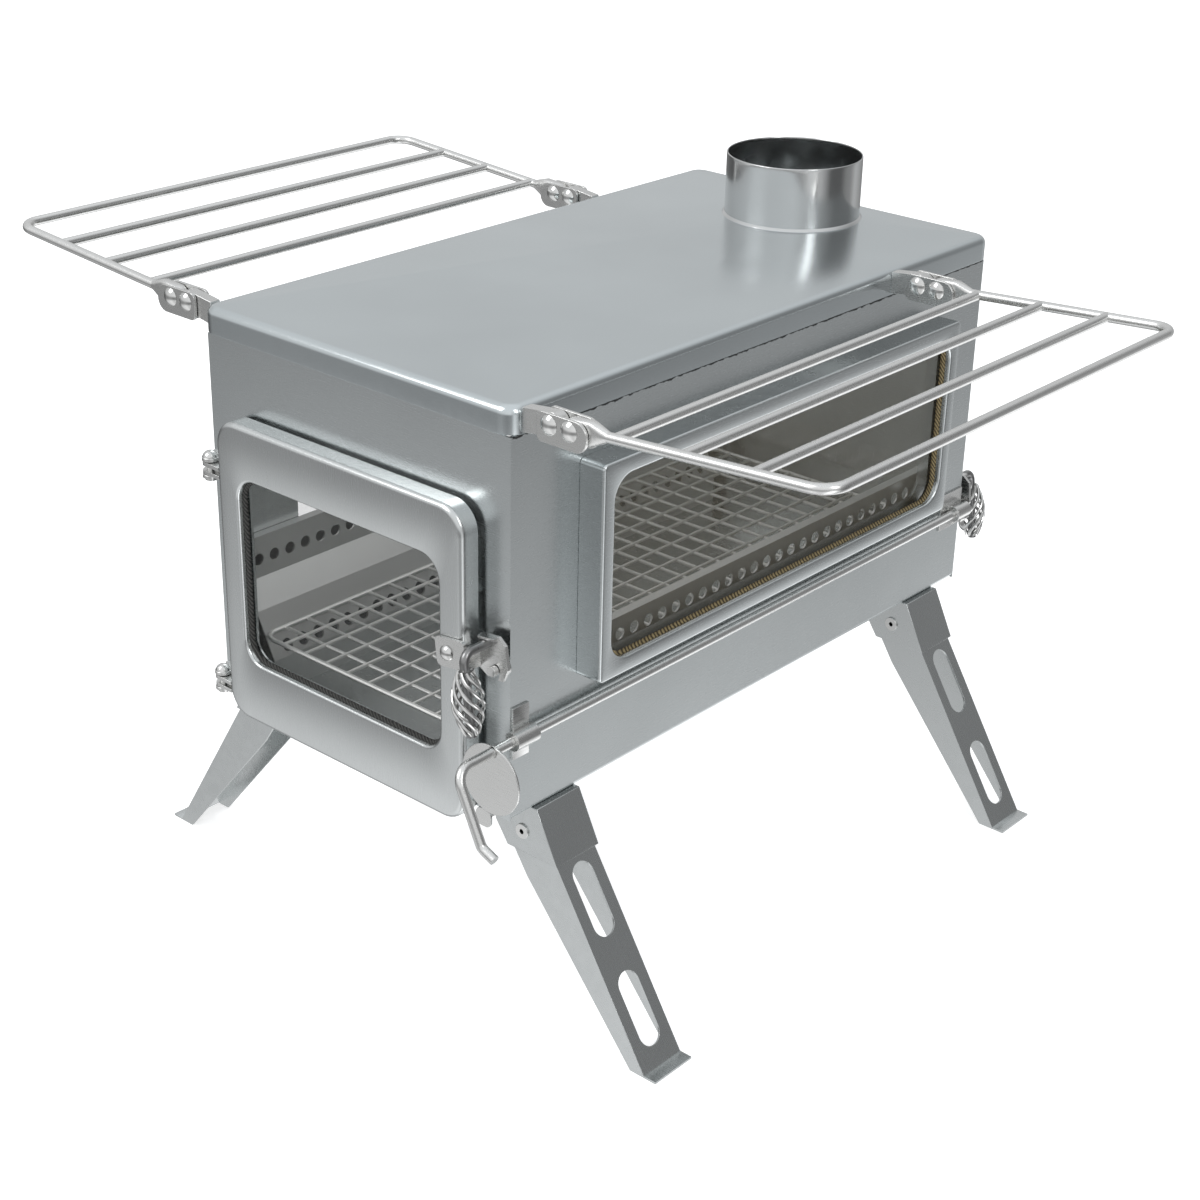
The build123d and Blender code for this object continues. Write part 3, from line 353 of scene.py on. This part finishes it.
for inset, z in outer + inner:
    loop = rounded_loop(half_w - inset, half_l - inset, max(corner - inset, least_corner))
    rings.append(np.column_stack([loop, np.full(len(loop), z)]))
edge = rings[0]
towards = np.arctan2(edge[:, 1] - (flue_y - mid_y), edge[:, 0])
bead_low, bead_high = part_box("flue_weld_bead")
hole_r = bead_high.x + seat
hole = np.column_stack([hole_r * np.cos(towards), flue_y - mid_y + hole_r * np.sin(towards)])
hole_top = np.column_stack([hole, np.full(len(hole), top_z)])
hole_under = np.column_stack([hole, np.full(len(hole), top_z - sheet)])
rings = [hole_top] + rings + [hole_under]
points = np.concatenate(rings) + [0, mid_y, 0]
plate_steel = steel("plate_steel", (0.62, 0.665, 0.68), 0.20, grain=(1, 26, 1), wave=0.06)
piece("cooking_plate", points, ring_faces(len(rings), len(hole), True), plate_steel, "top_plate")


# Flue collar. A strip of thin sheet rolled into a tube, polished, and welded into the plate's hole with
# a narrow bead.
def lathe(profile, centre, sides=96):
    """A closed profile of radius and height carried round an upright line through centre."""
    angle = np.linspace(0, 2 * np.pi, sides, endpoint=False)
    profile = np.asarray(profile)
    x = profile[:, 0, None] * np.cos(angle) + centre[0]
    y = profile[:, 0, None] * np.sin(angle) + centre[1]
    z = np.repeat(profile[:, 1, None] + centre[2], sides, 1)
    return np.stack([x, y, z], -1).reshape(-1, 3), ring_faces(len(profile), sides, True)


collar_steel = steel("collar_steel", (0.66, 0.67, 0.67), 0.15, grain=(1, 1, 30), wave=0.03)
wall, short_of_end = 0.0008, 0.002
profile = [(flue_r, collar_low.z)]
profile += [(flue_r, z) for z in np.linspace(top_z + short_of_end, collar_high.z - short_of_end, 4)]
for a in np.linspace(0, np.pi, 7):
    profile.append((flue_r - wall / 2 + wall / 2 * np.cos(a),
                    collar_high.z - wall / 2 + wall / 2 * np.sin(a)))
profile += [(flue_r - wall, z) for z in np.linspace(collar_high.z - short_of_end, collar_low.z, 5)]
points, faces = lathe(profile, (0, flue_y, 0))
piece("flue_collar_tube", points, faces, collar_steel, "flue_collar")
rise = bead_high.z - top_z
bead_r = flue_r + seat
bead = [(bead_r, bead_low.z), (bead_high.x, bead_low.z), (bead_high.x, top_z)]
for s in np.linspace(0.25, 1, 4):
    bulge = 0.75 * s + 0.25 * np.sin(s * np.pi / 2)
    bead.append((bead_r + (bead_high.x - bead_r) * (1 - s), top_z + rise * bulge))
points, faces = lathe(bead, (0, flue_y, 0))
piece("collar_bead", points, faces, collar_steel, "flue_weld_bead")


# Pressed doors and window frames. Each is a shallow pan of 1 mm sheet with rounded edges, and all but
# the rear door have a rolled lip that turns in round their window.
def pan_rings(half_w, half_h, corner, depth, edge, window=None):
    """Loops of a pan from its window's lip over the front, down the side and back inside. Each entry
    is half width, half height, corner radius, offset of the centre and distance behind the front."""
    sheet, least_corner, broken, rim, roll, lip = 0.001, 0.001, 0.0003, 0.0002, 0.0016, 0.002
    rings = []
    if window:
        wx, wz, wc, dz, deep = window
        for a in np.linspace(np.pi, np.pi / 2, 5):
            out = roll * np.cos(a)
            rings.append((wx + roll + out, wz + roll + out, wc + roll * (1 + np.cos(a)), dz,
                          roll - roll * np.sin(a)))
    for a in np.linspace(0, np.pi / 2, 6):
        inset = edge * (1 - np.sin(a))
        rings.append((half_w - inset, half_h - inset, max(corner - inset, least_corner), 0,
                      edge * (1 - np.cos(a))))
    rings.append((half_w, half_h, corner, 0, depth - rim))
    rings.append((half_w - broken, half_h - broken, corner, 0, depth))
    rings.append((half_w - sheet, half_h - sheet, corner - sheet, 0, depth))
    for a in np.linspace(np.pi / 2, 0, 4):
        inset = sheet + (edge - sheet) * (1 - np.sin(a))
        rings.append((half_w - inset, half_h - inset, max(corner - inset, least_corner), 0,
                      sheet + (edge - sheet) * (1 - np.cos(a))))
    if window:
        rings.append((wx + lip, wz + lip, wc + lip, dz, sheet))
        rings.append((wx + lip, wz + lip, wc + lip, dz, deep))
        rings.append((wx, wz, wc, dz, deep))
    return rings


def pan_mesh(rings, place):
    """Points of a pan whose loops are placed by place(across, up, back)."""
    loops = []
    for w, h, corner, dz, back in rings:
        loop = rounded_loop(w, h, corner)
        loops.append(place(loop[:, 0], loop[:, 1] + dz, np.full(len(loop), back)))
    return np.concatenate(loops), ring_faces(len(rings), len(loops[0]), True)


def capped_faces(rows, columns):
    """Quads of a grid of loops, with one face over the first loop and one over the last."""
    last = (rows - 1) * columns
    caps = [tuple(range(columns - 1, -1, -1)), tuple(range(last, last + columns))]
    return [tuple(face) for face in ring_faces(rows, columns, False)] + caps


door_steel = steel("door_steel", (0.64, 0.66, 0.66), 0.24, grain=(24, 1, 1), wave=0.10)
door_corner, door_edge, door_sheet, window_corner, lip_depth = 0.014, 0.003, 0.001, 0.012, 0.003
window_half_w, window_half_h, window_z = 0.0695, 0.050, 0.202027
low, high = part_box("front_door")
door_mid = (low.z + high.z) / 2
rings = pan_rings(high.x, (high.z - low.z) / 2, door_corner, high.y - low.y, door_edge,
                  window=(window_half_w, window_half_h, window_corner, window_z - door_mid, lip_depth))
points, faces = pan_mesh(rings, lambda a, b, c: np.stack([a, low.y + c, door_mid + b], -1))
piece("front_door_pan", points, faces, door_steel, "front_door")
low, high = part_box("rear_door")
rear_mid = (low.z + high.z) / 2
rings = pan_rings(high.x, (high.z - low.z) / 2, door_corner, high.y - low.y, door_edge)
middle = (0.02, 0.01, 0.004, 0)
rings = [(*middle, 0.0)] + rings + [(*middle, door_sheet)]
points, faces = pan_mesh(rings, lambda a, b, c: np.stack([a, high.y - c, rear_mid + b], -1))
faces = capped_faces(len(rings), len(points) // len(rings))
piece("rear_door_pan", points, faces, door_steel, "rear_door")
frame_corner, frame_edge, side_half_l, side_half_h = 0.003, 0.0015, 0.1385, 0.04695
for side, sign in (("right", 1), ("left", -1)):
    low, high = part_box("window_frame_" + side)
    mid = (low + high) / 2
    out = high.x if sign > 0 else -low.x
    rings = pan_rings((high.y - low.y) / 2, (high.z - low.z) / 2, frame_corner, high.x - low.x,
                      frame_edge, window=(side_half_l, side_half_h, window_corner, 0, lip_depth))
    points, faces = pan_mesh(
        rings, lambda a, b, c: np.stack([sign * (out - c), mid.y + a, mid.z + b], -1))
    piece("window_pan_" + side, points, faces, wall_steel, "window_frame_" + side)


# Glass of the door and the side windows. Heatproof panes, clear in the door and brownish at the sides,
# bedded on woven glass rope, which is nearly black in the door and straw coloured at the sides.
def pane(name, colour, alpha):
    """Tinted glass that lets most light through and keeps a faint sheen."""
    paint = bpy.data.materials.new(name)
    paint.use_nodes = True
    shader = paint.node_tree.nodes["Principled BSDF"]
    shader.inputs["Base Color"].default_value = (*colour, 1)
    shader.inputs["Roughness"].default_value = 0.04
    shader.inputs["Alpha"].default_value = alpha
    shader.inputs["Specular IOR Level"].default_value = 0.8
    paint.surface_render_method = "BLENDED"
    return paint


def woven(name, dark, light):
    """Glass rope: slanting waves, bent a little by noise, make the weave in colour and in height."""
    paint = bpy.data.materials.new(name)
    paint.use_nodes = True
    nodes, links = paint.node_tree.nodes, paint.node_tree.links
    shader = nodes["Principled BSDF"]
    place = add(nodes, "ShaderNodeTexCoord")
    weave = add(nodes, "ShaderNodeTexWave")
    weave.bands_direction = "DIAGONAL"
    weave.inputs["Scale"].default_value = 260.0
    weave.inputs["Distortion"].default_value = 2.0
    ramp = add(nodes, "ShaderNodeValToRGB")
    ramp.color_ramp.elements[0].color = (*dark, 1)
    ramp.color_ramp.elements[1].color = (*light, 1)
    bumps = add(nodes, "ShaderNodeBump")
    bumps.inputs["Distance"].default_value = 0.0004
    links.new(place.outputs["Object"], weave.inputs[0])
    links.new(weave.outputs[1], ramp.inputs[0])
    links.new(weave.outputs[1], bumps.inputs["Height"])
    links.new(ramp.outputs[0], shader.inputs["Base Color"])
    links.new(bumps.outputs[0], shader.inputs["Normal"])
    shader.inputs["Roughness"].default_value = 0.9
    return paint


side_glass = pane("side_glass", (0.10, 0.088, 0.062), 0.26)
door_glass = pane("door_glass_clear", (0.14, 0.14, 0.135), 0.07)
straw_rope = woven("straw_rope", (0.035, 0.026, 0.012), (0.30, 0.235, 0.12))
black_rope = woven("black_rope", (0.015, 0.015, 0.015), (0.07, 0.07, 0.065))
for side in ("right", "left"):
    dress("window_glass_" + side, side_glass)
    dress("window_rope_" + side, straw_rope)
    dress("window_retainer_" + side, wall_steel)
dress("door_glass", door_glass)
dress("door_glass_rope", black_rope)
dress("door_glass_retainer", wall_steel)


# Small steel parts that keep their CAD form: hinges, rivets, studs, levers, eyes, links and the air
# slide. They are cut, rolled or headed from stainless, with softly broken edges.
def softened(node, paint, width):
    """A merged, smooth copy of a CAD node with its sharp edges broken by width."""
    mesh = frame["nodes"][node].data.copy()
    shell = bmesh.new()
    shell.from_mesh(mesh)
    bmesh.ops.remove_doubles(shell, verts=shell.verts, dist=1e-6)
    bmesh.ops.dissolve_limit(shell, angle_limit=0.002, verts=shell.verts, edges=shell.edges)
    shell.to_mesh(mesh)
    shell.free()
    mesh.materials.clear()
    mesh.materials.append(paint)
    made = bpy.data.objects.new(node + "_finished", mesh)
    bpy.context.scene.collection.objects.link(made)
    edge = made.modifiers.new("edge", "BEVEL")
    edge.width = width
    edge.segments = 2
    edge.limit_method = "ANGLE"
    edge.angle_limit = np.radians(40.0)
    edge.use_clamp_overlap = True
    mesh.shade_smooth()
    mesh.set_sharp_from_angle(angle=np.radians(32.0))
    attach(made, body_of_node[node])
    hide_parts(node)


bright_steel = steel("bright_steel", (0.70, 0.70, 0.69), 0.15, grain=(1, 1, 1), grain_size=200.0,
                     wave=0.0)
satin_steel = steel("satin_steel", (0.70, 0.70, 0.69), 0.26, grain=(1, 1, 8), grain_size=120.0,
                    wave=0.04, bump=0.008)
for node in ("hinge_brackets", "front_door_ears", "rear_door_ears", "front_latch_lever",
             "rear_latch_lever", "shelf_ears", "shelf_links_right", "shelf_links_left", "rod_ring",
             "rod_strap", "rod_disc", "stud_washers", "air_slide"):
    softened(node, satin_steel, width=0.0003)
for node in ("hinge_pins", "latch_studs", "front_latch_rivet", "rear_latch_rivet", "shelf_ear_rivets",
             "link_rivets_right", "link_rivets_left", "leg_rivets", "slide_rivets",
             "door_retainer_studs"):
    softened(node, bright_steel, width=0.00015)


# Legs and their brackets. Each leg is a channel pressed from 1.2 mm sheet, with two long slots and a
# foot tab, and turns on a hollow rivet in a bent bracket.
leg_steel = steel("leg_steel", (0.60, 0.62, 0.62), 0.26, grain=(1, 24, 1), wave=0.07, bump=0.010)
for node in ("leg_front_right", "leg_rear_right", "leg_front_left", "leg_rear_left", "leg_brackets"):
    softened(node, leg_steel, width=0.0004)


# Firebox insides. Perforated liners, baffle and its rails are plain sheet and keep their CAD form, and
# the grate is welded from round wires, the long ones over the cross ones, in a thicker rim.
inner_steel = steel("inner_steel", (0.64, 0.65, 0.64), 0.42, grain=(1, 20, 1), wave=0.2)
for node in ("liner_right", "liner_left", "smoke_baffle", "baffle_rails"):
    dress(node, inner_steel)


def tube(path, radius, sides=16, closed=False):
    """A round bar along path. Each section is turned from the one before by the change of direction,
    and its points are radius times cosine and sine along two crossing directions. The first section
    is set square to a slant, which no bar runs along."""
    slant = [0.3, 0.2, 0.93]
    path = np.asarray(path, float)
    ahead = np.roll(path, -1, 0) - np.roll(path, 1, 0)
    if not closed:
        ahead[0], ahead[-1] = path[1] - path[0], path[-1] - path[-2]
    ahead /= np.linalg.norm(ahead, axis=1)[:, None]
    side = np.cross(ahead[0], slant)
    sides_on = []
    for k in range(len(path)):
        side = side - ahead[k] * (side @ ahead[k])
        side /= np.linalg.norm(side)
        sides_on.append(side)
    across = np.array(sides_on)
    other = np.cross(ahead, across)
    angle = np.linspace(0, 2 * np.pi, sides, endpoint=False)[None, :, None]
    ring = path[:, None] + radius * (across[:, None] * np.cos(angle) + other[:, None] * np.sin(angle))
    faces = ring_faces(len(path), sides, True) if closed else capped_faces(len(path), sides)
    return ring.reshape(-1, 3), faces


def joined(parts):
    """Several point and face lists as one."""
    points, faces, start = [], [], 0
    for part_points, part_faces in parts:
        points.append(part_points)
        faces += [tuple(int(i) + start for i in face) for face in part_faces]
        start += len(part_points)
    return np.concatenate(points), faces


low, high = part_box("grate")
rim_r, rim_corner, wire_r, layer, long_wires, cross_wires = 0.0013, 0.008, 0.001, 0.0003, 9, 24
level = (low.z + high.z) / 2
rows = np.linspace(low.y + rim_r, high.y - rim_r, cross_wires + 2)
columns = np.linspace(low.x + rim_r, high.x - rim_r, long_wires + 2)
bars = []
for x in columns[1:-1]:
    ends = [(x, low.y + rim_r, level + layer), (x, high.y - rim_r, level + layer)]
    bars.append(tube(ends, wire_r, sides=10))
for y in rows[1:-1]:
    ends = [(low.x + rim_r, y, level - layer), (high.x - rim_r, y, level - layer)]
    bars.append(tube(ends, wire_r, sides=10))
loop = rounded_loop((high.x - low.x) / 2 - rim_r, (high.y - low.y) / 2 - rim_r, rim_corner, arc=5)
rim = np.column_stack([loop[:, 0], loop[:, 1] + (low.y + high.y) / 2, np.full(len(loop), level)])
bars.append(tube(rim, rim_r, sides=8, closed=True))
points, faces = joined(bars)
wire_steel = steel("wire_steel", (0.80, 0.80, 0.78), 0.42, grain=(1, 1, 1), grain_size=300.0, wave=0.0)
piece("wire_grate", points, faces, wire_steel, "grate")


# Side shelves. Each is a rack of 5 mm polished round bar, bent at the outer corners, with three bars
# welded across and a flattened lug at each end that is riveted into its link.
def bent_path(corners, radii, step=0.12):
    """A line through corners with an arc of the given radius at each inner corner. Each arc runs from
    tangent point to tangent point, in steps of about step radians."""
    corners = [np.asarray(c, float) for c in corners]
    line = [corners[0]]
    for before, here, after, radius in zip(corners, corners[1:], corners[2:], radii):
        a = (before - here) / np.linalg.norm(before - here)
        b = (after - here) / np.linalg.norm(after - here)
        half = np.arccos(np.clip(a @ b, -1, 1)) / 2
        reach = radius / np.tan(half)
        centre = here + (a + b) / np.linalg.norm(a + b) * radius / np.sin(half)
        start, end = here + a * reach - centre, here + b * reach - centre
        sweep = np.pi - 2 * half
        for t in np.linspace(0, 1, max(int(sweep / step), 2) + 1):
            spoke = (np.sin((1 - t) * sweep) * start + np.sin(t * sweep) * end) / np.sin(sweep)
            line.append(centre + spoke)
    line.append(corners[-1])
    return np.array(line)


rack_steel = steel("rack_steel", (0.76, 0.76, 0.75), 0.27, grain=(6, 6, 6), grain_size=60.0, wave=0.0,
                   bump=0.005)
pivot_x, pivot_z, bar_r = 0.133, top_z - 0.0039, 0.0025
eye_r, eye_half, eye_end, squareness = 0.0055, 0.003, 0.0105, 0.35


def lug(y, reach, sides=20):
    """A forged end: rounded rectangle sections whose half height and half thickness change along X
    from a round nose through a flat eye to the round bar."""
    nose_stations = -eye_r * np.cos(np.linspace(0.12, np.pi / 2, 9))
    bar_stations = [0.005, 0.010, 0.013, 0.016, reach]
    x = np.concatenate([nose_stations, bar_stations])
    to_bar = np.clip((x - eye_end) / (reach - eye_end), 0, 1)
    tall = np.where(x < 0, np.sqrt(eye_r ** 2 - np.minimum(x, 0) ** 2), eye_r + (bar_r - eye_r) * to_bar)
    thick = eye_half + (bar_r - eye_half) * to_bar
    power = (squareness + (1 - squareness) * to_bar)[:, None]
    angle = np.linspace(0, 2 * np.pi, sides, endpoint=False)
    c, s = np.cos(angle)[None], np.sin(angle)[None]
    across = thick[:, None] * np.sign(c) * np.abs(c) ** power
    upright = tall[:, None] * np.sign(s) * np.abs(s) ** power
    ring = np.stack([np.repeat((pivot_x + x)[:, None], sides, 1), y + across, pivot_z + upright], -1)
    return ring.reshape(-1, 3), capped_faces(len(x), sides)


arm_inset, arm_root, overlap, rack_reach, rack_corner = 0.0049, 0.017, 0.001, 0.1325, 0.011
lug_reach, first_bar, bar_pitch, cross_bars, tilt = 0.0185, 0.022, 0.0365, 3, np.radians(4.0)
for side, sign in (("right", 1), ("left", -1)):
    low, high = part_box("shelf_links_" + side)
    front_y, rear_y = low.y + arm_inset, high.y - arm_inset
    start_x, outer_x = pivot_x + arm_root - overlap, pivot_x + rack_reach
    bow = bent_path([(start_x, front_y, pivot_z), (outer_x, front_y, pivot_z),
                     (outer_x, rear_y, pivot_z), (start_x, rear_y, pivot_z)], [rack_corner, rack_corner])
    bars = [tube(bow, bar_r, sides=20)]
    for k in range(cross_bars):
        x = pivot_x + first_bar + k * bar_pitch
        bars.append(tube([(x, front_y, pivot_z), (x, rear_y, pivot_z)], bar_r, sides=20))
    for y in (front_y, rear_y):
        bars.append(lug(y, lug_reach))
    points, faces = joined(bars)
    dx, dz = points[:, 0] - pivot_x, points[:, 2] - pivot_z
    points = np.column_stack([sign * (pivot_x + dx * np.cos(tilt) - dz * np.sin(tilt)), points[:, 1],
                              pivot_z + dx * np.sin(tilt) + dz * np.cos(tilt)])
    piece("side_rack_" + side, points, faces, rack_steel, "shelf_" + side)


# Crank rod. A 5 mm polished bar along the right wall, turned down into a crank at the front. It turns
# in the ring at the front and the strap at the rear.
low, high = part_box("side_rod")
rod_x, rod_z, front_y = 0.106, high.z - bar_r, low.y + bar_r
knee_out, knee_drop, tip_out, tip_drop = 0.016, 0.0335, 0.024, 0.0368
elbow_bend, knee_bend = 0.008, 0.005
line = bent_path([(rod_x, high.y, rod_z), (rod_x, front_y, rod_z),
                  (rod_x + knee_out, front_y, rod_z - knee_drop),
                  (rod_x + tip_out, front_y, rod_z - tip_drop)], [elbow_bend, knee_bend])
points, faces = tube(line, bar_r, sides=20)
piece("crank_bar", points, faces, rack_steel, "side_rod")


# Latch handles. A round shank hangs from each lever, inside a cage of eight bright wires that swell
# out and twist round it, so that it stays cool enough to hold.
shank_steel = steel("shank_steel", (0.30, 0.30, 0.30), 0.30, grain=(1, 1, 1), grain_size=200.0, wave=0.0)


def handle(end, lever_x, lever_z, face_y, sign):
    """Shank and cage wires of one handle. The cage's radius grows from its ends to its middle by a
    half sine wave, and each wire's angle turns evenly from end to end."""
    eye_along, eye_across, lever_turn = 0.0184, 0.0059, np.radians(7.0)
    x = lever_x + eye_along * np.cos(lever_turn) - eye_across * np.sin(lever_turn)
    z = lever_z + eye_along * np.sin(lever_turn) + eye_across * np.cos(lever_turn)
    root_out, shank_out, shank_drop, lean = 0.006, 0.0225, 0.0405, np.radians(7.5)
    back = np.array([x, face_y - sign * root_out, z])
    top = np.array([x, face_y - sign * shank_out, z])
    bottom = top + np.array([shank_drop * np.sin(lean), 0, -shank_drop * np.cos(lean)])
    shank_bend, shank_r = 0.0051, 0.00225
    points, faces = tube(bent_path([back, top, bottom], [shank_bend]), shank_r, sides=16)
    piece(end + "_handle_bar", points, faces, shank_steel, end + "_handle_shank")
    axis = (top - bottom) / np.linalg.norm(top - bottom)
    out = np.array([0, -sign * 1.0, 0])
    across = np.cross(axis, out)
    s = np.linspace(0, 1, 40)
    end_r, middle_r, cage_wire, cage_start, cage_length = 0.00325, 0.0071, 0.0009, 0.002, 0.0305
    wire_count, twist = 8, np.radians(215.0)
    radius = end_r + (middle_r - end_r) * np.sin(np.pi * s)
    wires = []
    for k in range(wire_count):
        angle = 2 * np.pi * k / wire_count - sign * twist * s
        line = bottom + axis * (cage_start + cage_length * s)[:, None]
        line = line + radius[:, None] * (out * np.cos(angle)[:, None] + across * np.sin(angle)[:, None])
        wires.append(tube(line, cage_wire, sides=10))
    points, faces = joined(wires)
    piece(end + "_handle_wires", points, faces, bright_steel, end + "_handle_cage")


lever_x, front_lever_z, rear_lever_z, box_half = 0.0767, 0.208027, 0.172027, 0.1905
handle("front", lever_x, front_lever_z, mid_y - box_half, 1)
handle("rear", lever_x, rear_lever_z, mid_y + box_half, -1)

low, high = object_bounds()
